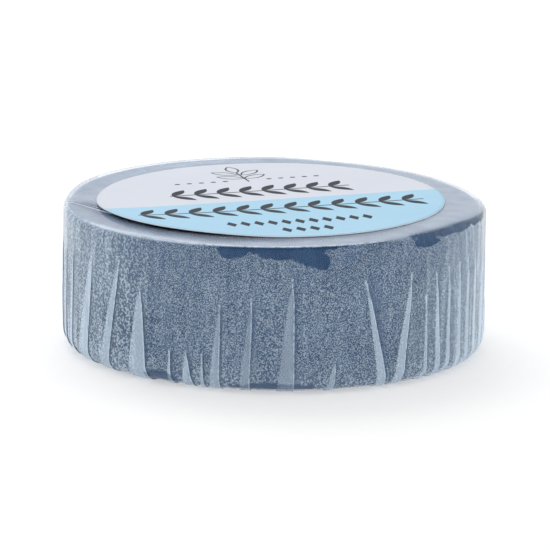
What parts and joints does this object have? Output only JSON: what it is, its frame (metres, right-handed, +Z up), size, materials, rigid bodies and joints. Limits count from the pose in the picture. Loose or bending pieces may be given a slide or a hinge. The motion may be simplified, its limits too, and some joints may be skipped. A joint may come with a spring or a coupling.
{
  "type": "shaving soap puck",
  "caption": "Round puck of blue shaving soap in pleated clear film, with a two-tone paper label on top and a round closing label underneath.",
  "frame": {"origin": "centre of the base, on the surface that the puck stands on", "axes": "+Z up through the middle of the printed label, and -Y towards the side that is seen when the label is read from the front"},
  "size_m": [0.06, 0.06, 0.0214],
  "materials": {
    "soap": "dense pressed soap, deep blue, waxy satin",
    "clear_film": "thin clear wrapping film, glossy, misted with fine specks where it clings to the soap",
    "label_paper": "smooth coated label paper, half off-white and half pale blue, with grey print",
    "closing_paper": "plain white label paper"
  },
  "bodies": {
    "root": {"soap_puck": "soap", "film_wrap": "clear_film", "top_label": "label_paper", "closing_label": "closing_paper"}
  },
  "joints": []
}
